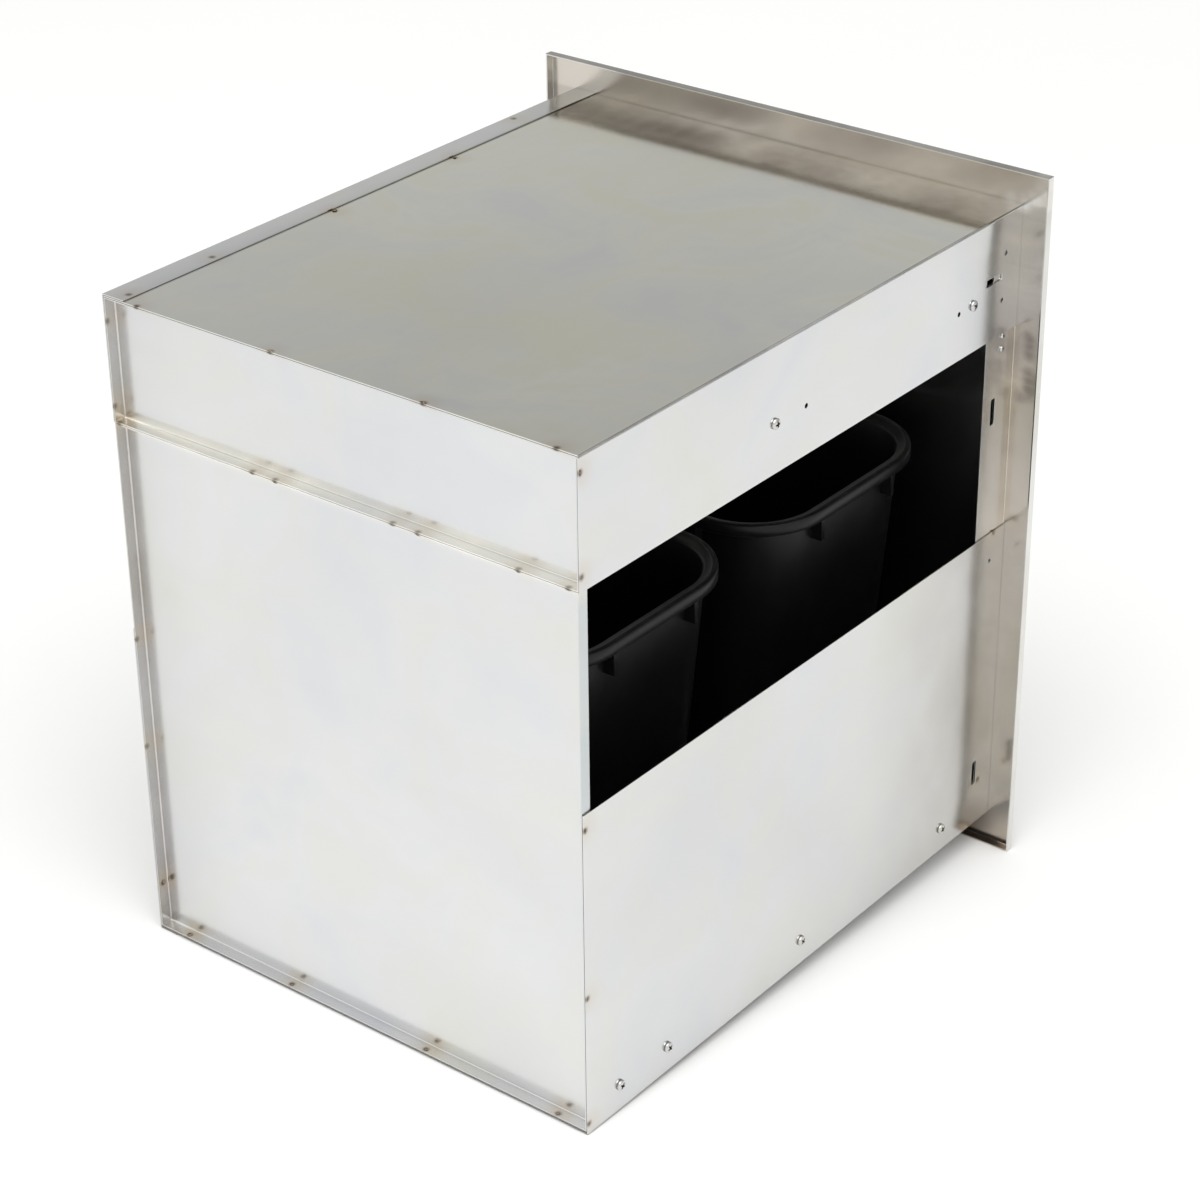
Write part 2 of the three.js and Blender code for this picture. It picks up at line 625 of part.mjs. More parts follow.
for (const [word, side] of SIDES) {
  add(`side_panel_upper_${word}`, upperSidePanel(side), casingSteel);
  add(`side_panel_lower_${word}`, lowerSidePanel(side), casingSteel);
  for (const [level, z, screws] of [
    ["lower", LOW_SLIDE_Z, LOW_SCREWS_Y],
    ["upper", HIGH_SLIDE_Z, HIGH_SCREWS_Y],
  ]) {
    add(`${level}_slide_outer_${word}`, slideOuter(side, z, screws), slideZinc);
    add(`${level}_slide_middle_${word}`, slideMiddle(side, z), slideZinc);
    add(`${level}_slide_inner_${word}`, slideInner(side, z), slideZinc);
    add(`${level}_ball_cage_outer_${word}`, ballCage(side, z, 1.7, OUTER_BALL), cagePlastic);
    add(`${level}_ball_cage_inner_${word}`, ballCage(side, z, 4.5, INNER_BALL), cagePlastic);
    screws.forEach((y, i) =>
      add(`${level}_slide_screw_${word}_${i + 1}`, sideScrew(side, y, z), screwSteel),
    );
  }
  add(`upper_arm_${word}`, upperArm(side), frontSteel);
  add(`front_stile_${word}`, frontStile(side), frontSteel);
  add(`handle_post_${word}`, handlePost(side), handleSteel);
  add(`handle_screw_${word}`, handleScrew(side), screwSteel);
  add(`bumper_${word}`, bumper(side, BOX_HEIGHT - 20), blackRubber);
}

add("catch_body", catchBody(), blackPlastic);
add("catch_strike", catchStrike(), slideZinc);
add("front_outer_pan", frontOuterPan(), frontSteel);
add("front_liner", frontLiner(), frontSteel);
add("handle_bar", handleBar(), handleSteel);
add("bin_tray", binTray(), frontSteel);
add("bin_divider", binDivider(), frontSteel);
add("bin_front", bin(BIN_FRONT_Y), blackPlastic);
add("bin_rear", bin(BIN_FRONT_Y + BIN_PITCH), blackPlastic);

unit.position.set(0, -(HANDLE_FRONT_Y + REAR_Y) / 2, -BOTTOM_Z);
const object = new THREE.Group();
object.add(unit);
export default object;
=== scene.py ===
"""Looks for the built-in double waste-bin drawer: a stainless cabinet, its drawer and its two bins.

Shapes are written in millimetres in the unit's own frame: x is 0 on the centre line, y is 0 at the front
plane of the trim flange and grows to the rear, z is 0 at the underside of the cabinet box. Blender works
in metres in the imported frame; at() and extent() go from one to the other.
"""

import math
import random
from collections import namedtuple

import bmesh
import bpy
from mathutils import Matrix, Vector, noise

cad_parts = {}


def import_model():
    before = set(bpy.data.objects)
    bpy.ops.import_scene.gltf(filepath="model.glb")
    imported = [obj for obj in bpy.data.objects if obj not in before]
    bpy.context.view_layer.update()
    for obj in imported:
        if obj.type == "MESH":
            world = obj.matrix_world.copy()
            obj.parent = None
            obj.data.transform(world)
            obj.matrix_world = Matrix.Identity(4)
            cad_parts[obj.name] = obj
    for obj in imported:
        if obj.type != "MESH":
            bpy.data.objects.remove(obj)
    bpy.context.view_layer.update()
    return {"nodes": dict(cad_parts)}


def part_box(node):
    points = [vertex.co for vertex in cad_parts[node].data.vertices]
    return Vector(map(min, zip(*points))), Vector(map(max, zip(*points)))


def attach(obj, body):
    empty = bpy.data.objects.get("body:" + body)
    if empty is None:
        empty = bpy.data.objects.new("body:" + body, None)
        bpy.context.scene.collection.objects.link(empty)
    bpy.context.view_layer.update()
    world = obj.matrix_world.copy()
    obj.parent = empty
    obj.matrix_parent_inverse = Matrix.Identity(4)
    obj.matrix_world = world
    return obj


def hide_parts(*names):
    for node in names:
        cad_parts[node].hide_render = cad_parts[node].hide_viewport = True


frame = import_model()

MM = 0.001
ORIGIN = Vector((0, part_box("face_frame")[0].y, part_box("side_panel_lower_left")[0].z))
SIDES = {"left": -1, "right": 1}
Extent = namedtuple("Extent", "x0 x1 y0 y1 z0 z1")


def at(x, y, z):
    """A point of the unit's own frame, in mm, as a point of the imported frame, in metres."""
    return ORIGIN + Vector((x, y, z)) * MM


def extent(node):
    """A CAD node's box in the unit's own frame, in mm."""
    low, high = ((corner - ORIGIN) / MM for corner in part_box(node))
    return Extent(low.x, high.x, low.y, high.y, low.z, high.z)


# ---- Dimensions ------------------------------------------------------------------------------------

SHEET = 1.2  # casing and drawer sheet
TRIM_SHEET = 1.5  # face frame and carriage sheet
BEND = 1.5  # outer radius of a bend in the casing
PAN_BEND = 2.9  # and in the rear panels
TRIM_BEND = 2.4  # outer radius of a bend in the face frame
EDGE = 0.3  # rounding of a cut edge
GAP = 0.3  # clearance between pieces that touch

FLANGE = extent("face_frame")
TOP = extent("top_panel")
BOTTOM = extent("bottom_panel")
LOWER = extent("side_panel_lower_left")
PAN_LOW = extent("rear_panel_lower")
PAN_HIGH = extent("rear_panel_upper")
FRONT = extent("front_outer_pan")
LINER = extent("front_liner")
HANDLE = extent("handle_bar")
BINS_Y = {name: (extent(name).y0 + extent(name).y1) / 2 for name in ("bin_front", "bin_rear")}

WALL_X = -LOWER.x0  # outer face of the side walls
REAR_Y = LOWER.y1
COLLAR_X = TOP.x1
COLLAR_LOW = BOTTOM.z0
COLLAR_HIGH = TOP.z0 - GAP
FLANGE_DEPTH = 9.5  # front plane to the rear edge of the flange's returns
PAN_RECESS = 11  # how far the rear panels lie inside the casing's rear rim
LAP_WIDTH = 24  # what the upper side panels turn over the top panel
LOW_LAP = 20  # and the lower ones under the bottom panel


# ---- Points and loops ------------------------------------------------------------------------------

def arc(cx, cy, radius, start, end, steps=5):
    """Points of a circular arc, with angles in degrees."""
    angles = [math.radians(start + (end - start) * i / steps) for i in range(steps + 1)]
    return [(cx + radius * math.cos(a), cy + radius * math.sin(a)) for a in angles]


def rectangle(half, low, high, y):
    """Four corners of an upright rectangle across y."""
    return [(-half, y, low), (half, y, low), (half, y, high), (-half, y, high)]


def rounded_rectangle(half_x, half_y, corner, z, centre_y, steps=14, straight=6):
    """A level rounded rectangle, anticlockwise from above."""
    loop = []
    for quarter, (sx, sy) in enumerate([(1, 1), (-1, 1), (-1, -1), (1, -1)]):
        cx, cy = sx * (half_x - corner), sy * (half_y - corner)
        loop += arc(cx, cy, corner, 90 * quarter, 90 * quarter + 90, steps)
    filled = []
    for here, there in zip(loop, loop[1:] + loop[:1]):
        filled.append(here)
        if math.dist(here, there) > corner / 2:
            filled += [
                tuple(a + (b - a) * i / straight for a, b in zip(here, there))
                for i in range(1, straight)
            ]
    return [(x, centre_y + y, z) for x, y in filled]


# ---- Meshes ----------------------------------------------------------------------------------------

def loft(shape, loops, closed=False, caps=False):
    """Skins a run of loops that have the same number of points."""
    rows = [[shape.verts.new(point) for point in loop] for loop in loops]
    pairs = list(zip(rows, rows[1:]))
    if closed:
        pairs.append((rows[-1], rows[0]))
    for a, b in pairs:
        for i in range(len(a)):
            j = (i + 1) % len(a)
            shape.faces.new((a[i], a[j], b[j], b[i]))
    if caps:
        shape.faces.new(rows[0][::-1])
        shape.faces.new(rows[-1])


def block(shape, x0, x1, y0, y1, z0, z1):
    """A box, whose two x values may come in either order."""
    x0, x1 = sorted((x0, x1))
    corners = [[(x0, y0, z), (x1, y0, z), (x1, y1, z), (x0, y1, z)] for z in (z0, z1)]
    loft(shape, corners, caps=True)


def along_y(shape, profile, y0, y1):
    """Carries a closed profile of (x, z) points along y."""
    loft(shape, [[(x, y, z) for x, z in profile] for y in (y0, y1)], caps=True)


def lathe(shape, profile, centre, axis, steps):
    """Turns a profile of (radius, height) points, which starts and ends on the axis, about x, y or z."""
    turn = {
        "x": Matrix.Rotation(math.pi / 2, 3, "Y"),
        "y": Matrix.Rotation(-math.pi / 2, 3, "X"),
        "z": Matrix.Identity(3),
    }
    loops = []
    for radius, height in profile:
        ring = [
            Vector((max(radius, 0.01) * math.cos(a), max(radius, 0.01) * math.sin(a), height))
            for a in (2 * math.pi * i / steps for i in range(steps))
        ]
        loops.append([Vector(centre) + turn[axis] @ point for point in ring])
    loft(shape, loops, caps=True)


def slot_cutter(shape, x, y, z, length_y, length_z, reach=8):
    """A slot with small corners, or a round hole, through a side wall."""
    radius = min(length_y, length_z) / 2
    if length_y != length_z:
        radius *= 0.45
    run_y, run_z = length_y / 2 - radius, length_z / 2 - radius
    ends = arc(y + run_y, z + run_z, radius, 0, 90, 4) + arc(y - run_y, z + run_z, radius, 90, 180, 4)
    ends += arc(y - run_y, z - run_z, radius, 180, 270, 4) + arc(y + run_y, z - run_z, radius, 270, 360, 4)
    outline = []
    for point in ends:
        if not outline or math.dist(point, outline[-1]) > 1e-4:
            outline.append(point)
    if math.dist(outline[0], outline[-1]) < 1e-4:
        outline.pop()
    loft(shape, [[(px, py, pz) for py, pz in outline] for px in (x - reach, x + reach)], caps=True)


def mesh_object(name, shape):
    """An object from a bmesh in the unit's own frame, which is used up."""
    bmesh.ops.remove_doubles(shape, verts=shape.verts, dist=1e-4)
    bmesh.ops.recalc_face_normals(shape, faces=shape.faces)
    for vert in shape.verts:
        vert.co = at(*vert.co)
    mesh = bpy.data.meshes.new(name)
    shape.to_mesh(mesh)
    shape.free()
    made = bpy.data.objects.new(name, mesh)
    bpy.context.scene.collection.objects.link(made)
    return made


def subtract(piece, cutter_shape):
    """Cuts a bmesh of closed cutters out of a piece."""
    cutter = mesh_object("cutter", cutter_shape)
    modifier = piece.modifiers.new("cut", "BOOLEAN")
    modifier.operation = "DIFFERENCE"
    modifier.solver = "EXACT"
    modifier.use_self = True
    modifier.object = cutter
    bpy.context.view_layer.update()
    evaluated = piece.evaluated_get(bpy.context.evaluated_depsgraph_get())
    mesh = bpy.data.meshes.new_from_object(evaluated)
    piece.modifiers.remove(modifier)
    old, piece.data = piece.data, mesh
    bpy.data.meshes.remove(old)
    bpy.data.objects.remove(cutter)


def soften(piece, width=EDGE, angle=40, segments=2):
    """Smooth shading, with its sharp edges rounded a little."""
    for polygon in piece.data.polygons:
        polygon.use_smooth = True
    piece.data.set_sharp_from_angle(angle=math.radians(angle))
    if width:
        bevel = piece.modifiers.new("edges", "BEVEL")
        bevel.width = width * MM
        bevel.segments = segments
        bevel.limit_method = "ANGLE"
        bevel.angle_limit = math.radians(angle)
        bevel.harden_normals = True
    return piece


def place(piece, material, body, stands_for=()):
    """Gives a piece its material and its body, and hides the CAD nodes it stands for."""
    piece.data.materials.clear()
    piece.data.materials.append(material)
    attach(piece, body)
    if stands_for:
        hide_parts(*stands_for)


# ---- Material nodes --------------------------------------------------------------------------------

class Nodes:
    """Short calls for building a node tree: values given for inputs may be constants or sockets."""

    def __init__(self, tree):
        self.tree = tree

    def add(self, kind, settings=None, **inputs):
        node = self.tree.nodes.new(kind)
        for key, value in (settings or {}).items():
            setattr(node, key, value)
        for key, value in inputs.items():
            slot = int(key[1:]) if key[0] == "i" and key[1:].isdigit() else key.replace("_", " ")
            self.put(node.inputs[slot], value)
        return node

    def put(self, socket, value):
        if isinstance(value, bpy.types.NodeSocket):
            self.tree.links.new(value, socket)
        else:
            socket.default_value = value

    def coordinates(self):
        return self.add("ShaderNodeTexCoord").outputs["Object"]

    def noise(self, vector, scale, detail, roughness=0.5, distortion=0.0):
        node = self.add(
            "ShaderNodeTexNoise",
            Vector=vector,
            Scale=scale,
            Detail=detail,
            Roughness=roughness,
            Distortion=distortion,
        )
        return node.outputs["Fac"]

    def stretched(self, vector, scale):
        return self.add("ShaderNodeMapping", Vector=vector, Scale=scale).outputs["Vector"]

    def remap(self, value, low, high, to_low, to_high, smooth=False):
        settings = {"interpolation_type": "SMOOTHSTEP"} if smooth else {}
        node = self.add("ShaderNodeMapRange", settings, i0=value, i1=low, i2=high, i3=to_low, i4=to_high)
        return node.outputs["Result"]

    def math(self, operation, first, second):
        return self.add("ShaderNodeMath", {"operation": operation}, i0=first, i1=second).outputs["Value"]

    def mix(self, factor, first, second):
        node = self.add("ShaderNodeMix", {"data_type": "RGBA"})
        self.put(node.inputs["Factor"], factor)
        self.put(node.inputs[6], first)
        self.put(node.inputs[7], second)
        return node.outputs[2]

    def vector(self, operation, first, second):
        node = self.add("ShaderNodeVectorMath", {"operation": operation}, i0=first, i1=second)
        return node.outputs["Vector"]

    def wavy_normal(self, where, scale, lean):
        """The surface's normal, leaning a little one way and another over a sheet that isn't quite flat."""
        wander = self.add("ShaderNodeTexNoise", Vector=where, Scale=scale, Detail=1.0).outputs["Color"]
        centred = self.vector("SUBTRACT", wander, (0.5, 0.5, 0.5))
        normal = self.add("ShaderNodeNewGeometry").outputs["Normal"]
        leaning = self.vector("ADD", normal, self.vector("MULTIPLY", centred, (2 * lean,) * 3))
        return self.vector("NORMALIZE", leaning, (0, 0, 0))

    def bump(self, height, strength, distance, normal=None):
        node = self.add("ShaderNodeBump", Height=height, Strength=strength, Distance=distance)
        if normal is not None:
            self.put(node.inputs["Normal"], normal)
        return node.outputs["Normal"]


def colour(red, green, blue):
    return (red, green, blue, 1.0)


def halo_group():
    """A node group: 1 at a centre, falling smoothly to 0 at a radius."""
    tree = bpy.data.node_groups.new("weld halo", "ShaderNodeTree")
    for label, kind in (("Coordinate", "Vector"), ("Centre", "Vector"), ("Radius", "Float")):
        tree.interface.new_socket(label, in_out="INPUT", socket_type=f"NodeSocket{kind}")
    tree.interface.new_socket("Fac", in_out="OUTPUT", socket_type="NodeSocketFloat")
    nodes = Nodes(tree)
    entry = nodes.add("NodeGroupInput").outputs
    away = nodes.add("ShaderNodeVectorMath", {"operation": "DISTANCE"}, i0=entry[0], i1=entry[1])
    fade = nodes.remap(away.outputs["Value"], 0.0, entry[2], 1.0, 0.0, smooth=True)
    nodes.add("NodeGroupOutput", i0=fade)
    return tree


HALO = halo_group()


def halos(nodes, where, places, radius):
    """The strongest of the halos round some places of the unit's own frame."""
    strongest = None
    for place_mm in places:
        node = nodes.add("ShaderNodeGroup", {"node_tree": HALO})
        nodes.put(node.inputs["Coordinate"], where)
        node.inputs["Centre"].default_value = at(*place_mm)
        node.inputs["Radius"].default_value = radius * MM
        fac = node.outputs["Fac"]
        strongest = fac if strongest is None else nodes.math("MAXIMUM", strongest, fac)
    return strongest


def new_material(name):
    material = bpy.data.materials.new(name)
    material.use_nodes = True
    tree = material.node_tree
    tree.nodes.clear()
    nodes = Nodes(tree)
    shader = nodes.add("ShaderNodeBsdfPrincipled")
    nodes.add("ShaderNodeOutputMaterial", Surface=shader.outputs["BSDF"])
    return material, nodes, shader


STRAW = colour(0.60, 0.51, 0.39)  # heat tint well away from a weld
SCORCH = colour(0.11, 0.085, 0.06)  # and close to it
STRAW_RADIUS = 21
SCORCH_RADIUS = 4.8
PLAIN = (1, 1, 1)  # no rolling direction
ALONG_X = (0.05, 1, 1)
ALONG_Y = (1, 0.05, 1)


def scaled(base, factor):
    """A colour from three parts times one factor or three."""
    factors = factor if isinstance(factor, tuple) else (factor,) * 3
    return colour(*(c * f for c, f in zip(base, factors)))


def steel(
    name,
    base,
    grain,
    rough,
    mottle=0.04,
    lean=0.012,
    welds=(),
    bands=(),
    smears=0.0,
    tints=0.5,
    stains=(),
):
    """Mill-finish sheet steel: cloudy colour, a fine rolling grain, slight waves, and heat tint at welds.

    grain scales the coordinates of the fine grain, smallest along the rolling direction, and PLAIN sheet
    has none to feel. bands are (axis, from, to, colour, strength): a tone, at some places a stain or another
    tone of the sheet, at others painted shade, highlight or reflection, strongest at the first place and gone
    at the second. smears are level streaks of dried polish; tints are faint yellow and blue clouds; stains
    are (places, radius, colour, strength): round spots of such a tone.
    """
    material, nodes, shader = new_material(name)
    where = nodes.coordinates()
    cloud = nodes.noise(where, 3.2, 4, 0.55, 0.4)
    streaks = nodes.noise(nodes.stretched(where, [g * 90 for g in grain]), 1.0, 3, 0.6)
    low, high = scaled(base, 1 - mottle), scaled(base, 1 + mottle)
    tone = nodes.mix(nodes.remap(cloud, 0.3, 0.7, 0, 1), low, high)
    tint = nodes.noise(where, 8, 3, 0.6, 0.8)
    tone = nodes.mix(nodes.remap(tint, 0.5, 0.7, 0, tints), tone, scaled(base, (1.0, 0.99, 0.90)))
    tone = nodes.mix(nodes.remap(tint, 0.5, 0.3, 0, tints), tone, scaled(base, (0.94, 0.95, 1.02)))
    tone = nodes.mix(nodes.remap(streaks, 0.35, 0.75, 0, mottle * 1.6), tone, scaled(base, 0.8))
    axes = nodes.add("ShaderNodeSeparateXYZ", Vector=where).outputs
    patchy = nodes.remap(nodes.noise(where, 9, 4, 0.6), 0.25, 0.7, 0.35, 1)
    if smears:
        smear = nodes.noise(nodes.stretched(where, (3, 3, 26)), 1.0, 5, 0.62, 0.6)
        tone = nodes.mix(nodes.remap(smear, 0.42, 0.72, 0, smears), tone, scaled(base, 0.55))
        tone = nodes.mix(nodes.remap(smear, 0.42, 0.28, 0, smears), tone, scaled(base, 1.4))
    for axis, start, end, stain, strength in bands:
        point = at(*(start if a == axis else 0 for a in "xyz"))
        other = at(*(end if a == axis else 0 for a in "xyz"))
        index = "xyz".index(axis)
        band = nodes.remap(axes[index], point[index], other[index], strength, 0, smooth=True)
        tone = nodes.mix(nodes.math("MULTIPLY", band, patchy), tone, stain)
    for places, radius, stain, strength in stains:
        spot = nodes.math("MULTIPLY", halos(nodes, where, places, radius), strength)
        tone = nodes.mix(nodes.math("MULTIPLY", spot, patchy), tone, stain)
    roughness = nodes.remap(nodes.noise(where, 7, 5, 0.6), 0.3, 0.7, *rough)
    if welds:
        wide = nodes.math("MULTIPLY", halos(nodes, where, welds, STRAW_RADIUS), 0.55)
        near = nodes.math("MULTIPLY", halos(nodes, where, welds, SCORCH_RADIUS), 0.95)
        tone = nodes.mix(nodes.math("MULTIPLY", wide, patchy), tone, STRAW)
        tone = nodes.mix(near, tone, SCORCH)
    nodes.put(shader.inputs["Base Color"], tone)
    nodes.put(shader.inputs["Roughness"], roughness)
    nodes.put(shader.inputs["Metallic"], 1.0)
    normal = nodes.wavy_normal(where, 3.0, lean)
    if grain != PLAIN:
        normal = nodes.bump(streaks, 0.04, 0.0004, normal)
    nodes.put(shader.inputs["Normal"], normal)
    return material


def plastic(name, base, rough, grain_scale, grain_depth, dust=0.0, shine=0.4):
    """Moulded plastic or rubber: a fine grain, uneven gloss and a trace of dust on upward faces."""
    material, nodes, shader = new_material(name)
    where = nodes.coordinates()
    cloud = nodes.noise(where, 14, 4, 0.6)
    tone = nodes.mix(nodes.remap(cloud, 0.3, 0.7, 0, 1), scaled(base, 0.85), scaled(base, 1.2))
    if dust:
        normal = nodes.add("ShaderNodeNewGeometry").outputs["Normal"]
        upward = nodes.add("ShaderNodeSeparateXYZ", Vector=normal).outputs[2]
        uneven = nodes.remap(cloud, 0.35, 0.65, 0.3, 1)
        settled = nodes.math("MULTIPLY", nodes.remap(upward, 0.4, 1, 0, dust), uneven)
        tone = nodes.mix(settled, tone, colour(0.35, 0.34, 0.32))
    nodes.put(shader.inputs["Base Color"], tone)
    nodes.put(shader.inputs["Roughness"], nodes.remap(cloud, 0.25, 0.75, rough - 0.06, rough + 0.06))
    nodes.put(shader.inputs["Specular IOR Level"], shine)
    fine = nodes.noise(where, grain_scale, 2, 0.5)
    nodes.put(shader.inputs["Normal"], nodes.bump(fine, 0.25, grain_depth))
    return material


def weld_metal():
    """The oxidised bead of a tack weld."""
    material, nodes, shader = new_material("weld bead")
    where = nodes.coordinates()
    patches = nodes.noise(where, 420, 3, 0.6)
    dark, light = colour(0.07, 0.055, 0.04), colour(0.34, 0.28, 0.21)
    tone = nodes.mix(nodes.remap(patches, 0.35, 0.65, 0, 1), dark, light)
    nodes.put(shader.inputs["Base Color"], tone)
    nodes.put(shader.inputs["Roughness"], nodes.remap(patches, 0.3, 0.7, 0.3, 0.6))
    nodes.put(shader.inputs["Metallic"], 0.85)
    nodes.put(shader.inputs["Normal"], nodes.bump(patches, 0.5, 0.0004))
    return material


# ---- Weld places -----------------------------------------------------------------------------------

LEDGE_Z = PAN_HIGH.z0  # where the two rear panels meet
RIM_Y = REAR_Y - 0.9
SPARE_HOLES_Y = (97.3, 321)  # holes beside the upper slide's screws
SPARE_HOLE_Z = 541.2

LEDGE_WELDS = [(x, RIM_Y, LEDGE_Z - 0.6) for x in (236, 87.5, 63, -59.5, -85, -183.5, -231)]
BOTTOM_WELDS = [(x, RIM_Y - 2.6, PAN_LOW.z0 + 1.4) for x in (209, 86, -67, -209)]
TOP_REAR_WELDS = [(x, RIM_Y, TOP.z1 - 0.4) for x in (204, 59, -96, -222)]
FAR_FIN_WELDS = [(COLLAR_X + 0.4, RIM_Y, z) for z in (587.5, 512.5, 295, 189)]
FAR_FIN_WELDS += [(COLLAR_X - 1.4, REAR_Y - 5, 46)]
NEAR_REAR_WELDS = [(-WALL_X + 0.4, RIM_Y - 1, z) for z in (595.5, 510.5, 291, 134, 11)]
LAP_WELDS = [(223, 597.5, TOP.z1 + 1), (224.4, 501.5, TOP.z1 + 1), (215.4, 363, TOP.z1 + 0.6)]
LAP_WELDS += [(215.5, 206, TOP.z1 + 0.6), (235.0, 100.9, TOP.z1 + 1)]
POST_WELDS = [(-WALL_X, 20, LOWER.z1 - 0.6), (-WALL_X, 23.7, 47)]


# ---- Materials -------------------------------------------------------------------------------------

CASING = (0.68, 0.683, 0.685)
TOP_CASING = (0.73, 0.725, 0.675)
TRIM = (0.57, 0.53, 0.475)
ZINC = (0.56, 0.58, 0.60)
BIN_BLACK = (0.0045, 0.0045, 0.005)

# a paler tone at the upper left corner of the flange
PALE_CORNER = colour(0.95, 0.93, 0.90)
# painted highlight along the ledge between the rear panels
LEDGE_HIGHLIGHT = colour(0.95, 0.935, 0.865)
# painted highlight on the bends of the flange's returns
BEND_HIGHLIGHT = colour(0.76, 0.76, 0.74)
UPPER_TRIM = colour(0.88, 0.83, 0.76)
LOWER_TRIM = colour(0.77, 0.725, 0.66)
FAR_TRIM = colour(0.47, 0.435, 0.39)
COOL_GREY = colour(0.48, 0.53, 0.55)
MID_GREY = colour(0.50, 0.50, 0.50)
# painted reflection of the flange in the lower side panels
SIDE_FLANGE_REFLECTION = colour(0.44, 0.42, 0.39)
# painted dark reflection: of the flange in the upper side panels, and of the shaded floor low on the side
# panels
DARK_REFLECTION = colour(0.42, 0.42, 0.40)
# painted reflection of the side panel's fin in the rear panels
FIN_REFLECTION = colour(0.40, 0.36, 0.33)
# painted dark reflection of the box's underside near the foot of the flange
UNDERSIDE_REFLECTION = colour(0.30, 0.22, 0.16)
# painted reflection of the flange on the top sheet
TOP_FLANGE_REFLECTION = colour(0.20, 0.17, 0.145)
SPOT = colour(0.17, 0.13, 0.13)
# a dark line along the top rim of the flange
TOP_RIM_DARK = colour(0.16, 0.15, 0.14)
# painted shade of the gap between the top sheet and the side panel
SEAM_SHADE = colour(0.12, 0.11, 0.10)
# painted shade in thin lines along edges and joints
EDGE_SHADE = colour(0.10, 0.09, 0.08)
# darker painted reflection of the flange on the top, towards its right front
DEEP_FLANGE_REFLECTION = colour(0.10, 0.08, 0.065)
# painted black shade seen through holes
HOLE_SHADE = colour(0.004, 0.004, 0.004)


def top_sheet():
    """The top: painted reflection of the flange beside it, darkest on the right; painted gap shade at the
    left edge.
    """
    # painted reflection of the flange along the front, and painted shade of the gap along the left edge
    bands = [("y", 58, 79, TOP_FLANGE_REFLECTION, 0.95), ("x", -WALL_X + 0.2, -WALL_X + 0.9, SEAM_SHADE, 0.9)]
    right_front = [(x, 40, TOP.z1) for x in range(70, 240, 20)]
    welds = TOP_REAR_WELDS + LAP_WELDS
    # the painted reflection of the flange is darker towards the right front
    stains = [(right_front, 38, DEEP_FLANGE_REFLECTION, 1.0)]
    rough = (0.09, 0.15)
    return steel("top sheet", TOP_CASING, ALONG_Y, rough, welds=welds, bands=bands, tints=1.0, stains=stains)


def side_sheets():
    """The side panels: a painted reflection of the flange, darker towards it, which the lower ones show over
    a longer stretch.
    """
    welds = NEAR_REAR_WELDS + LAP_WELDS + POST_WELDS
    # painted reflection of the flange, darker towards it
    towards_flange = {"lower": ("y", 50, 240, SIDE_FLANGE_REFLECTION, 0.85), "upper": ("y", 45, 135, DARK_REFLECTION, 0.35)}
    # painted shade: darker towards the bottom, a faint line at the front edge by the flange, a dark line
    # along the bottom edge
    common = [("z", 0, 110, DARK_REFLECTION, 0.16), ("y", 1.8, 3.8, EDGE_SHADE, 0.15), ("z", 0.5, 1.6, EDGE_SHADE, 0.95)]
    return {
        level: steel(f"{level} side sheet", CASING, ALONG_Y, (0.15, 0.22), welds=welds, bands=[band, *common])
        for level, band in towards_flange.items()
    }


def rear_sheets():
    """The rear panels: a painted highlight beside the ledge between them, a painted reflection of the fin at
    the right rim, cool at the left.
    """
    welds = LEDGE_WELDS + BOTTOM_WELDS + FAR_FIN_WELDS + TOP_REAR_WELDS
    # painted highlight beside the ledge, fading over 13 to 15 mm
    ledge = {
        "lower": ("z", LEDGE_Z, LEDGE_Z - 15, LEDGE_HIGHLIGHT, 1.0),
        "upper": ("z", LEDGE_Z, LEDGE_Z + 13, LEDGE_HIGHLIGHT, 1.0),
    }
    # darker towards the right rim, with a painted brown reflection of the fin right beside it; cool grey at
    # the left rim
    rims = [
        ("x", COLLAR_X, COLLAR_X - 90, MID_GREY, 0.25),
        ("x", COLLAR_X, COLLAR_X - 12, FIN_REFLECTION, 0.6),
        ("x", -COLLAR_X, -COLLAR_X + 1, COOL_GREY, 0.8),
    ]
    sheets = {}
    for level, band in ledge.items():
        node = f"rear_panel_{level}"
        bands = [band, *rims]
        sheets[node] = steel(f"{node} sheet", CASING, ALONG_X, (0.19, 0.26), welds=welds, bands=bands)
    return sheets


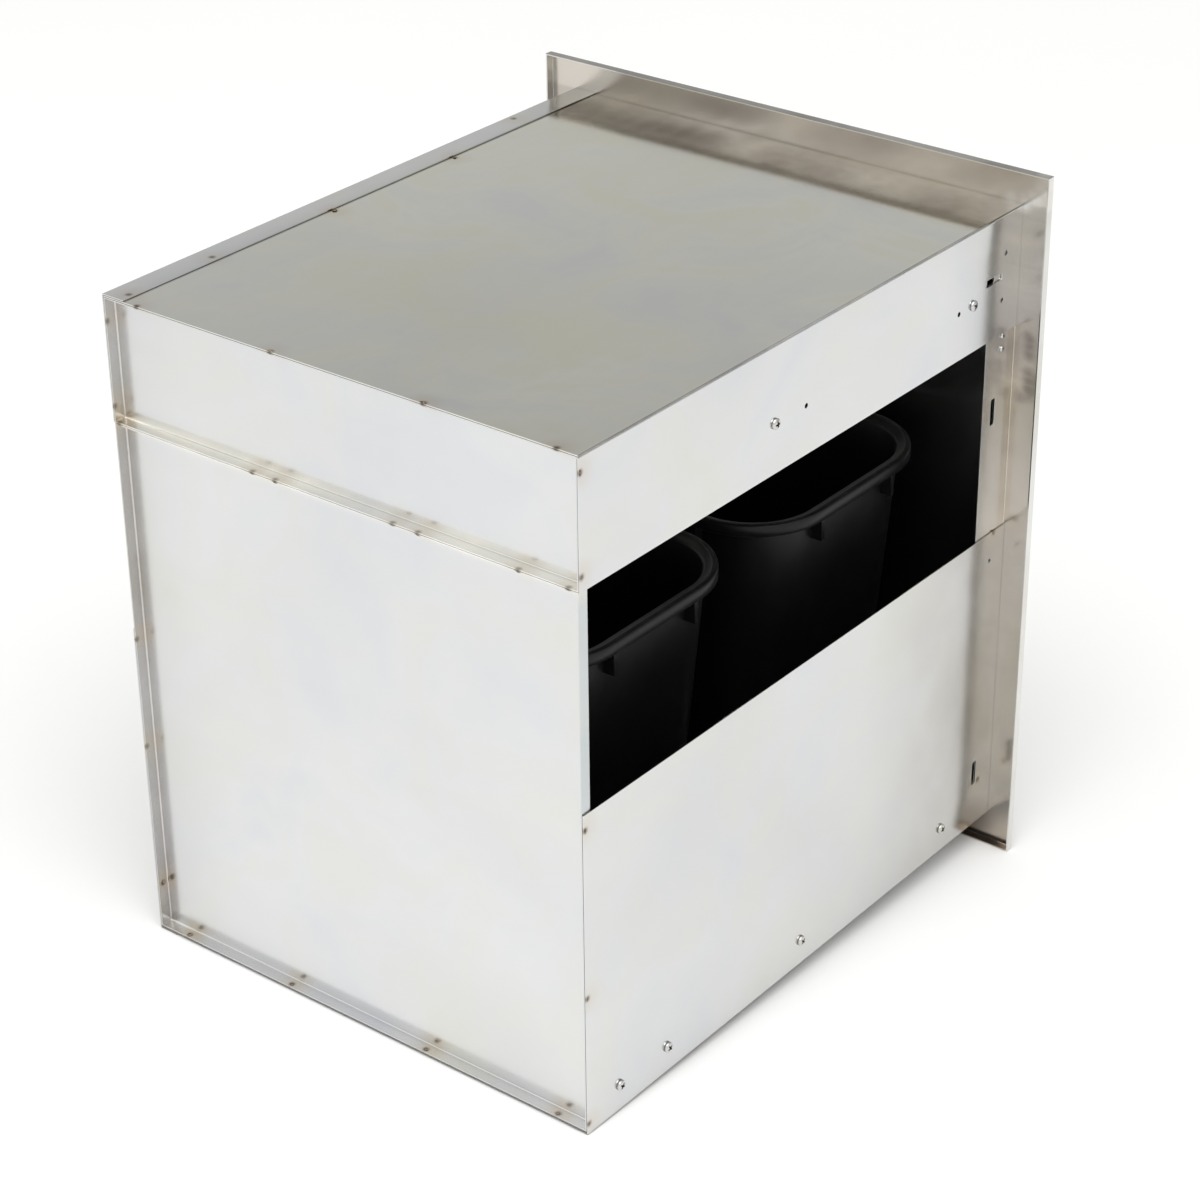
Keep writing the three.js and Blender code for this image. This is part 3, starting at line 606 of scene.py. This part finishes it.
def trim_sheet():
    """The face frame: brown smears, dark spots, a paler upper left corner, painted bend highlights, painted
    underside reflection at its foot.
    """
    rim_x, rim_z = FLANGE.x1, FLANGE.z1
    bands = [
        ("z", 300, 420, LOWER_TRIM, 0.8),
        # painted dark reflection of the box's underside at the foot of the flange
        ("z", -22, 22, UNDERSIDE_REFLECTION, 0.7),
        ("z", 613, 609, UPPER_TRIM, 0.9),  # above the box
        ("x", 250, 20, FAR_TRIM, 0.8),
        ("y", 16, 10, colour(*CASING), 1.0),  # the collar inside the casing
        # painted highlights on the bends of the returns
        ("x", 1.7 - rim_x, 2.7 - rim_x, BEND_HIGHLIGHT, 1.0),
        ("x", rim_x - 1.7, rim_x - 2.7, BEND_HIGHLIGHT, 1.0),
        ("z", rim_z - 1.7, rim_z - 2.7, BEND_HIGHLIGHT, 1.0),
        # a dark line along the top rim
        ("z", rim_z - 0.3, rim_z - 0.9, TOP_RIM_DARK, 0.95),
    ]
    spots = [(-256.5, TRIM_SHEET, z) for z in (488, 481, 474, 456, 449, 442)] + [(-250, TRIM_SHEET, 432)]
    # paler at the upper left corner
    corner = [(-231, 611), (-243, 611.5), (-252, 618), (-259, 627), (-263, 634)]
    corner = [(x, TRIM_SHEET, z) for x, z in corner]
    stains = [(spots, 10, SPOT, 0.8), (corner, 13, PALE_CORNER, 1.2)]
    rough = (0.19, 0.265)
    return steel("face frame sheet", TRIM, PLAIN, rough, 0.12, bands=bands, smears=0.35, stains=stains)


def slide_sheet():
    """Zinc plate, with painted black shade where the spare holes in the side panels show the slide's own
    holes.
    """
    places = [(side * (WALL_X - 1.5), y, SPARE_HOLE_Z) for side in (-1, 1) for y in SPARE_HOLES_Y]
    # painted black shade behind the spare holes
    stains = [(places, 4.5, HOLE_SHADE, 4.0)]
    return steel("zinc plated slide", ZINC, ALONG_Y, (0.29, 0.42), 0.10, 0.004, stains=stains)


top_steel = top_sheet()
side_steels = side_sheets()
rear_steels = rear_sheets()
# the bottom sheet is painted dark: painted shade under the box and along its rear bottom edge
bottom_shade_steel = steel("bottom sheet shade", (0.22, 0.215, 0.21), ALONG_Y, (0.29, 0.36))
trim_steel = trim_sheet()
front_steel = steel("drawer front sheet", (0.62, 0.62, 0.61), (0.02, 1, 1.6), (0.20, 0.26), 0.03, 0.006)
handle_steel = steel("handle steel", (0.70, 0.70, 0.69), (0.02, 1, 1), (0.16, 0.22), 0.03, 0.0)
slide_zinc = slide_sheet()
screw_steel = steel("screw steel", (0.60, 0.59, 0.57), PLAIN, (0.10, 0.18), 0.06, 0.0)
# the dark colour of the cross recess is painted shade
recess_shade = steel("screw recess shade", (0.07, 0.068, 0.065), PLAIN, (0.35, 0.5), 0.2, 0.0)
bin_plastic = plastic("bin plastic", BIN_BLACK, 0.36, 900, 0.0002, dust=0.0015, shine=0.24)
catch_plastic = plastic("catch plastic", (0.02, 0.02, 0.021), 0.5, 900, 0.0002)
cage_plastic = plastic("cage plastic", (0.60, 0.60, 0.57), 0.45, 700, 0.0002)
rubber = plastic("rubber", (0.014, 0.014, 0.014), 0.75, 1200, 0.0002)
bead = weld_metal()


# ---- Casing ----------------------------------------------------------------------------------------

SLOT_WIDTH = 6.5
PANEL_SLOT_FRONT = 30  # front end of the level slot in the side panel
COLLAR_SLOT_FRONT = 41  # and in the collar
LEVEL_SLOT_REAR = 56


def front_holes(side, level_slot_front):
    """Cutters for the slots and holes near the front of a side wall."""
    x = side * WALL_X
    level_y, level_run = (level_slot_front + LEVEL_SLOT_REAR) / 2, LEVEL_SLOT_REAR - level_slot_front
    shape = bmesh.new()
    slot_cutter(shape, x, level_y, 553.6, level_run, SLOT_WIDTH)
    slot_cutter(shape, x, 31.5, 426, SLOT_WIDTH, 25)
    slot_cutter(shape, x, 31.2, 57.6, SLOT_WIDTH, 24)
    for y, z, diameter in [(26, 573, 4.6), (28.8, 530.8, 4.6), (24.4, 277.2, 4)]:
        slot_cutter(shape, x, y, z, diameter, diameter)
    return shape


def face_frame():
    """The trim flange with its returns, and the collar inside the casing, as one bent section."""
    def outer(inset, y):
        return rectangle(FLANGE.x1 - inset, FLANGE.z0 + inset, FLANGE.z1 - inset, y)

    def collar(inset, y):
        return rectangle(COLLAR_X - inset, COLLAR_LOW + inset, COLLAR_HIGH - inset, y)

    bend, inner = TRIM_BEND, TRIM_BEND - TRIM_SHEET
    loops = [outer(0, FLANGE_DEPTH)]
    loops += [outer(d, y) for d, y in arc(bend, bend, bend, 180, 270)]
    loops += [collar(TRIM_SHEET - d, y) for d, y in arc(bend, bend, bend, 270, 180)]
    loops += [collar(TRIM_SHEET, FLANGE.y1), collar(0, FLANGE.y1)]
    loops += [collar(-d, y) for d, y in arc(inner, TRIM_SHEET + inner, inner, 180, 270)]
    loops += [outer(TRIM_SHEET + d, y) for d, y in arc(inner, TRIM_SHEET + inner, inner, 270, 180)]
    loops += [outer(TRIM_SHEET, FLANGE_DEPTH)]
    shape = bmesh.new()
    loft(shape, loops, closed=True)
    piece = mesh_object("Face_frame", shape)
    for side in SIDES.values():
        subtract(piece, front_holes(side, COLLAR_SLOT_FRONT))
    place(soften(piece), trim_steel, "cabinet", ["face_frame"])


def bent_profile(side, low, high, lap, bend_at_top):
    """(x, z) points of a side wall with a flange of width lap turned inwards at its top or bottom."""
    inner = BEND - SHEET
    turn, sign = (high, -1) if bend_at_top else (low, 1)
    far = low if bend_at_top else high
    outside = arc(BEND, BEND, BEND, 180, 270)
    inside = arc(BEND, BEND, inner, 270, 180)
    points = [(0, far)]
    points += [(d, turn + sign * h) for d, h in outside]
    points += [(lap, turn), (lap, turn + sign * SHEET)]
    points += [(d, turn + sign * h) for d, h in inside]
    points += [(SHEET, far)]
    return [(side * (WALL_X - d), z) for d, z in points]


def side_panels():
    for word, side in SIDES.items():
        node = f"side_panel_upper_{word}"
        box = extent(node)
        shape = bmesh.new()
        along_y(shape, bent_profile(side, box.z0, box.z1, LAP_WIDTH, True), box.y0, box.y1)
        panel = mesh_object(f"Side_panel_upper_{word}", shape)
        cutters = front_holes(side, PANEL_SLOT_FRONT)
        for y in SPARE_HOLES_Y:
            slot_cutter(cutters, side * WALL_X, y, SPARE_HOLE_Z, 4.4, 4.4)
        if side < 0:
            within = side * (WALL_X - BEND)
            block(cutters, within, 0, box.y0 - 5, FLANGE.y1 + 0.3, box.z1 - 4, box.z1 + 4)
            block(cutters, within, 0, PAN_LOW.y0, REAR_Y + 5, box.z1 - 4, box.z1 + 4)
        subtract(panel, cutters)
        place(soften(panel), side_steels["upper"], "cabinet", [node])

        node = f"side_panel_lower_{word}"
        box = extent(node)
        shape = bmesh.new()
        along_y(shape, bent_profile(side, box.z0, box.z1, LOW_LAP, False), box.y0, box.y1)
        panel = mesh_object(f"Side_panel_lower_{word}", shape)
        subtract(panel, front_holes(side, PANEL_SLOT_FRONT))
        place(soften(panel), side_steels["lower"], "cabinet", [node])


def flat_panels():
    for node, material in (("top_panel", top_steel), ("bottom_panel", bottom_shade_steel)):
        shape = bmesh.new()
        block(shape, *extent(node))
        piece = mesh_object(node.capitalize(), shape)
        place(soften(piece, 0.25), material, "cabinet", [node])


def rear_pans():
    """Each rear panel is a shallow pan, open to the rear, whose rim is flush with the casing's."""
    for node in ("rear_panel_lower", "rear_panel_upper"):
        box = extent(node)
        base = REAR_Y - PAN_RECESS

        def rim(inset, y, box=box):
            return rectangle(box.x1 - inset, box.z0 + inset, box.z1 - inset, y)

        inner = PAN_BEND - SHEET
        outside = arc(PAN_BEND, PAN_BEND, PAN_BEND, 270, 180)
        loops = [rim(7, box.y0), *(rim(d, box.y0 + h) for d, h in outside)]
        loops += [rim(0, REAR_Y), rim(SHEET, REAR_Y)]
        loops += [rim(SHEET + d, base + h) for d, h in arc(inner, inner, inner, 180, 270)]
        loops += [rim(7, base)]
        shape = bmesh.new()
        loft(shape, loops, caps=True)
        piece = mesh_object(node.capitalize(), shape)
        place(soften(piece, 0.25), rear_steels[node], "cabinet", [node])


def tack_welds():
    """Small uneven beads along the seams, in one mesh."""
    chance = random.Random(7)
    groups = [
        (LEDGE_WELDS, (3.3, 1.0, 1.7)),
        (BOTTOM_WELDS, (2.4, 1.8, 0.8)),
        (TOP_REAR_WELDS, (2.9, 0.9, 1.2)),
        (FAR_FIN_WELDS, (1.2, 0.9, 2.8)),
        (NEAR_REAR_WELDS, (0.9, 0.9, 2.6)),
        (LAP_WELDS, (1.6, 2.0, 0.7)),
        (POST_WELDS, (0.6, 1.6, 1.2)),
    ]
    shape = bmesh.new()
    for places, size in groups:
        for centre in places:
            grow = chance.uniform(0.75, 1.2)
            made = bmesh.ops.create_icosphere(shape, subdivisions=3, radius=1)
            for vert in made["verts"]:
                lump = 1 + 0.22 * noise.noise(vert.co * 1.7 + Vector(centre))
                vert.co = Vector(c + s * grow * lump * v for c, s, v in zip(centre, size, vert.co))
                vert.co.y = min(vert.co.y, REAR_Y)
    piece = mesh_object("Tack_welds", shape)
    place(soften(piece, 0), bead, "cabinet")


# ---- Screws ----------------------------------------------------------------------------------------

CATCH_SCREW_Y = 22.5
CATCH_SCREWS_Z = (483, 495.4)


def pan_head(radius, height, shank_radius, shank):
    """A pan-head screw along +Z with a cross recess, centred on the underside of its head."""
    dome = [(radius * cos, height * (0.35 + 0.65 * sin)) for cos, sin in arc(0, 0, 1, 0, 72, 8)]
    profile = [(0, -shank), (shank_radius, -shank), (shank_radius, 0)]
    profile += [(radius * 0.97, 0), (radius, height * 0.12), *dome, (0, height)]
    shape = bmesh.new()
    lathe(shape, profile, (0, 0, 0), "z", 28)
    cutters = bmesh.new()
    wing, slot = radius * 0.58, radius * 0.16
    block(cutters, -wing, wing, -slot, slot, height * 0.35, height + 1)
    block(cutters, -slot, slot, -wing, wing, height * 0.34, height + 1)
    middle = [(0, height * 0.2), (slot * 1.3, height * 0.22), (slot * 2.2, height + 1), (0, height + 1)]
    lathe(cutters, middle, (0, 0, 0), "z", 8)
    return shape, cutters


def side_screw(name, seat, y, z, radius, height, shank, turn, stands_for=()):
    """A screw through a side wall, its head outside and its seat at one x."""
    shape, cutters = pan_head(radius, height, radius * 0.42, shank)
    spin = Matrix.Rotation(math.radians(turn), 3, "Z")
    lean = Matrix.Rotation(math.copysign(math.pi / 2, seat), 3, "Y")
    centre = Vector((seat, y, z))
    for mesh in (shape, cutters):
        for vert in mesh.verts:
            vert.co = centre + lean @ (spin @ vert.co)
    piece = mesh_object(name, shape)
    subtract(piece, cutters)
    place(soften(piece, 0), screw_steel, "cabinet", stands_for)
    # faces in the cross recess get the painted shade colour
    piece.data.materials.append(recess_shade)
    for polygon in piece.data.polygons:
        out, *across = (polygon.center - at(*centre)) / MM
        sunk = abs(out) < height * 0.75 and abs(out) > 0.1 * height
        if sunk and math.hypot(*across) < radius * 0.6 and out * seat > 0:
            polygon.material_index = 1


def screws():
    chance = random.Random(3)
    for word, side in SIDES.items():
        for level, count in (("lower", 4), ("upper", 2)):
            for i in range(1, count + 1):
                node = f"{level}_slide_screw_{word}_{i}"
                box = extent(node)
                y, z = (box.y0 + box.y1) / 2, (box.z0 + box.z1) / 2
                radius = (box.z1 - box.z0) / 2
                seat = side * (WALL_X + GAP)
                spin = chance.uniform(0, 90)
                side_screw(node.capitalize(), seat, y, z, radius, 2.8, 2.4, spin, [node])
    for i, z in enumerate(CATCH_SCREWS_Z):
        spin = chance.uniform(0, 90)
        side_screw(f"Catch_screw_{i + 1}", -COLLAR_X - 0.1, CATCH_SCREW_Y, z, 2.8, 2.0, 6, spin)


# ---- Drawer ----------------------------------------------------------------------------------------

def folded_front(node, box, rear_open, material, sheet):
    """A panel whose four edges are turned: the outer shell of the drawer front, or its liner."""
    face, lip = (box.y0, box.y1) if rear_open else (box.y1, box.y0)
    way = 1 if rear_open else -1
    inner = BEND - sheet

    def edge(inset, depth):
        return rectangle(box.x1 - inset, box.z0 + inset, box.z1 - inset, face + way * depth)

    depth = abs(lip - face)
    loops = [edge(BEND + 4, 0), *(edge(d, h) for d, h in arc(BEND, BEND, BEND, 270, 180))]
    loops += [edge(0, depth), edge(sheet, depth)]
    loops += [edge(sheet + d, sheet + h) for d, h in arc(inner, inner, inner, 180, 270)]
    loops += [edge(BEND + 4, sheet)]
    shape = bmesh.new()
    loft(shape, loops, caps=True)
    piece = mesh_object(node.capitalize(), shape)
    place(soften(piece), material, "drawer", [node])


def handle():
    """A round bar on two posts, each with a shallow foot."""
    radius = (HANDLE.z1 - HANDLE.z0) / 2
    half = HANDLE.x1
    centre = (0, (HANDLE.y0 + HANDLE.y1) / 2, (HANDLE.z0 + HANDLE.z1) / 2)
    end = arc(radius - 1.2, half - 1.2, 1.2, 0, 90, 6)
    profile = [(0, -half)] + [(r, -h) for r, h in reversed(end)] + end + [(0, half)]
    shape = bmesh.new()
    lathe(shape, profile, centre, "x", 64)
    bar = mesh_object("Handle_bar", shape)
    place(soften(bar, 0), handle_steel, "drawer", ["handle_bar"])
    for word, side in SIDES.items():
        box = extent(f"handle_post_{word}")
        x = (box.x0 + box.x1) / 2
        foot, neck = (box.x1 - box.x0) / 2, 5.5
        length = box.y1 - box.y0
        profile = [(0, 0), (neck, 0), (neck, length - 5), (neck + 0.5, length - 3.6)]
        profile += [(foot - 0.6, length - 3), (foot, length - 2.4), (foot, length), (0, length)]
        shape = bmesh.new()
        lathe(shape, profile, (x, box.y0, centre[2]), "y", 48)
        post = mesh_object(f"Handle_post_{word}", shape)
        place(soften(post, 0), handle_steel, "drawer", [f"handle_post_{word}"])


# ---- Bins ------------------------------------------------------------------------------------------

RIM_CORNER = 73
OVERHANG = 10
SKIRT = 11
BIN_WALL = 2.6
TAPER = 28


def waste_bin(node):
    """A tapered moulded bin with a rolled, stepped rim and small ribs under it."""
    box = extent(node)
    centre_y = BINS_Y[node]
    half_x, half_y = box.x1, (box.y1 - box.y0) / 2
    height = box.z1 - box.z0

    def loop(inset, z, corner_less=None):
        less = inset if corner_less is None else corner_less
        corner = max(RIM_CORNER - less, 20)
        return rounded_rectangle(half_x - inset, half_y - inset, corner, box.z0 + z, centre_y)

    def wall(inset, z):
        return loop(OVERHANG + TAPER * (1 - z / height) + inset, z, OVERHANG + inset + 12 * (1 - z / height))

    step = 5.0
    loops = [wall(10, 0.8), wall(3.5, 0), wall(1.2, 0.8), wall(0, 3.2)]
    loops += [wall(0, height * t) for t in (0.1, 0.25, 0.45, 0.65, 0.8, 0.9)]
    loops += [wall(0, height - 4.6), loop(7.5, height - BIN_WALL - 1.4), loop(5, height - BIN_WALL - 0.6)]
    loops += [loop(BIN_WALL + 0.8, height - BIN_WALL - 0.9), loop(BIN_WALL, height - BIN_WALL - 2)]
    loops += [loop(BIN_WALL - 0.2, height - SKIRT + 0.6), loop(BIN_WALL - 0.8, height - SKIRT)]
    loops += [loop(0.6, height - SKIRT), loop(0, height - SKIRT + 0.6)]
    loops += [loop(0, height - 2.0), loop(0.5, height - 0.7), loop(1.6, height - 0.1)]
    loops += [loop(2.6, height), loop(step, height - 0.15), loop(step + 0.8, height - 1.3)]
    loops += [loop(OVERHANG + 0.4, height - 1.9), loop(OVERHANG + 2, height - 2.8)]
    loops += [wall(BIN_WALL, height - 5)]
    loops += [wall(BIN_WALL, height * t) for t in (0.9, 0.8, 0.65, 0.45, 0.25, 0.1)]
    loops += [wall(BIN_WALL + 0.5, 6), wall(BIN_WALL + 2, BIN_WALL + 0.6), wall(10, BIN_WALL)]
    shape = bmesh.new()
    loft(shape, loops, caps=True)
    depth = OVERHANG + 1
    low, high = height - SKIRT - 20, height - 2.5
    for a in (-1, 1):
        for b in (-1, 1):
            rib(shape, (a, 0), b * 53, half_x, depth, low, high, box.z0, centre_y)
            rib(shape, (0, a), b * 108, half_y, depth, low, high, box.z0, centre_y)
    piece = mesh_object(node.capitalize(), shape)
    place(soften(piece, 0.4, 50), bin_plastic, node, [node])


def rib(shape, facing, across, reach, depth, low, high, floor, centre_y):
    """A web under the rim, square at its lower end."""
    half = 2.4
    outline = [(reach - 1.3, high), (reach - 1.3, low + 0.6), (reach - 1.9, low)]
    outline += [(reach - depth - 3, low), (reach - depth - 1, high)]
    loops = []
    for offset in (-half, half):
        loop = []
        for out, z in outline:
            if facing[0]:
                loop.append((facing[0] * out, centre_y + across + offset, floor + z))
            else:
                loop.append((across + offset, centre_y + facing[1] * out, floor + z))
        loops.append(loop)
    loft(shape, loops, caps=True)


# ---- CAD nodes that stay ---------------------------------------------------------------------------

def keep(nodes, material, width=0.25):
    """CAD nodes whose shape is right: their own material, and their edges rounded by a modifier."""
    for name in nodes:
        piece = frame["nodes"][name]
        for place_in in piece.material_slots:
            place_in.material = material
        weld = piece.modifiers.new("weld", "WELD")
        weld.merge_threshold = 1e-5
        if width:
            flat = piece.modifiers.new("flat", "DECIMATE")
            flat.decimate_type = "DISSOLVE"
            flat.angle_limit = math.radians(1)
            bevel = piece.modifiers.new("edges", "BEVEL")
            bevel.width = width * MM
            bevel.segments = 2
            bevel.limit_method = "ANGLE"
            bevel.angle_limit = math.radians(40)


def kept_nodes():
    both = [f"{level}_{{}}_{word}" for level in ("upper", "lower") for word in SIDES]
    for part in ("slide_outer", "slide_middle", "slide_inner"):
        keep([name.format(part) for name in both], slide_zinc, 0.2)
    for part in ("ball_cage_outer", "ball_cage_inner"):
        keep([name.format(part) for name in both], cage_plastic, 0)
    keep([f"upper_arm_{word}" for word in SIDES], front_steel)
    keep([f"front_stile_{word}" for word in SIDES], front_steel)
    keep(["bin_tray", "bin_divider"], front_steel)
    keep([f"handle_screw_{word}" for word in SIDES], screw_steel, 0.15)
    keep([f"bumper_{word}" for word in SIDES], rubber, 0.15)
    keep(["catch_body"], catch_plastic, 0.4)
    keep(["catch_strike"], slide_zinc)


face_frame()
side_panels()
flat_panels()
rear_pans()
tack_welds()
screws()
folded_front("front_outer_pan", FRONT, True, front_steel, SHEET)
folded_front("front_liner", LINER, False, front_steel, SHEET)
handle()
for bin_node in BINS_Y:
    waste_bin(bin_node)
kept_nodes()


# ---- Floor, light and camera -----------------------------------------------------------------------

def floor():
    """A pale floor under the lower edge of the flange and the rear bottom edge of the box."""
    front, rear = at(0, FLANGE_DEPTH, FLANGE.z0), at(0, REAR_Y, LOWER.z0)
    tilt = math.atan2(rear.z - front.z, rear.y - front.y)
    centre = (front + rear) / 2 - Vector((0, 0, 0.0002))
    bpy.ops.mesh.primitive_plane_add(size=24, location=centre, rotation=(tilt, 0, 0))
    plane = bpy.context.object
    plane.name = "Floor"
    material, nodes, shader = new_material("floor paper")
    where = nodes.coordinates()
    tone = nodes.remap(nodes.noise(where, 0.8, 2), 0.3, 0.7, 0, 1)
    white = nodes.mix(tone, colour(0.90, 0.90, 0.90), colour(0.915, 0.915, 0.912))
    nodes.put(shader.inputs["Base Color"], white)
    nodes.put(shader.inputs["Roughness"], 0.9)
    nodes.put(shader.inputs["Specular IOR Level"], 0.0)
    plane.data.materials.append(material)


PALE_WAY = (-0.6, 0.8, 0)  # the way that the rear and the left wall face
SKY_STRENGTH = 2.1
DIM_SKY = [(0.0, 0.42), (0.14, 0.56), (0.30, 0.63), (0.5, 0.42), (0.8, 0.45), (1.0, 1.1)]  # (height, level)
PALE_SKY = [(0.0, 0.95), (0.2, 0.85), (0.38, 1.05), (0.55, 1.3), (0.86, 1.6), (1.0, 1.2)]


def sky_ramp(nodes, height, stops):
    ramp = nodes.add("ShaderNodeValToRGB", i0=height)
    elements = ramp.color_ramp.elements
    while len(elements) < len(stops):
        elements.new(0.5)
    for element, (place_at, level) in zip(elements, stops):
        element.position = place_at
        element.color = colour(level / 2, level / 2, level * 0.985 / 2)
    return ramp.outputs["Color"]


def world():
    """A soft studio: pale on the side that the rear and the left wall face, dim on the other."""
    sky = bpy.data.worlds.new("Studio")
    bpy.context.scene.world = sky
    sky.use_nodes = True
    sky.node_tree.nodes.clear()
    nodes = Nodes(sky.node_tree)
    direction = nodes.add("ShaderNodeTexCoord").outputs["Generated"]
    height = nodes.add("ShaderNodeSeparateXYZ", Vector=direction).outputs[2]
    settings = {"operation": "DOT_PRODUCT"}
    towards = nodes.add("ShaderNodeVectorMath", settings, i0=direction, i1=PALE_WAY).outputs["Value"]
    both = nodes.mix(
        nodes.remap(towards, -0.4, 0.4, 0, 1, smooth=True),
        sky_ramp(nodes, height, DIM_SKY),
        sky_ramp(nodes, height, PALE_SKY),
    )
    background = nodes.add("ShaderNodeBackground", Color=both, Strength=SKY_STRENGTH)
    nodes.add("ShaderNodeOutputWorld", Surface=background.outputs["Background"])


def area_light(name, location, target, size, power):
    light = bpy.data.lights.new(name, "AREA")
    light.shape = "RECTANGLE"
    light.size, light.size_y = size
    light.energy = power
    made = bpy.data.objects.new(name, light)
    made.location = location
    aim = Vector(target) - Vector(location)
    made.rotation_euler = aim.to_track_quat("-Z", "Y").to_euler()
    bpy.context.scene.collection.objects.link(made)


CAMERA_PLACE = (-1.4931, 1.8965, 1.6157)
CAMERA_ANGLES = (218.367, 28.713, -0.632)  # azimuth, elevation and roll, in degrees
CAMERA_LENS = 93.459


def camera():
    data = bpy.data.cameras.new("Camera")
    data.lens = CAMERA_LENS
    data.sensor_width = 36
    data.clip_end = 60
    made = bpy.data.objects.new("Camera", data)
    azimuth, elevation, roll = (math.radians(a) for a in CAMERA_ANGLES)
    forward = Vector(
        (
            -math.sin(azimuth) * math.cos(elevation),
            math.cos(azimuth) * math.cos(elevation),
            -math.sin(elevation),
        )
    )
    level = forward.cross(Vector((0, 0, 1))).normalized()
    upright = level.cross(forward)
    right = level * math.cos(roll) + upright * math.sin(roll)
    up = upright * math.cos(roll) - level * math.sin(roll)
    turn = Matrix((right, up, -forward)).transposed().to_4x4()
    made.matrix_world = Matrix.Translation(CAMERA_PLACE) @ turn
    bpy.context.scene.collection.objects.link(made)
    bpy.context.scene.camera = made


floor()
world()
area_light("Softbox", (-1.3, 1.7, 4.4), (0, 0, 0.3), (3.6, 3.6), 81)
camera()
bpy.context.scene.view_settings.view_transform = "Standard"
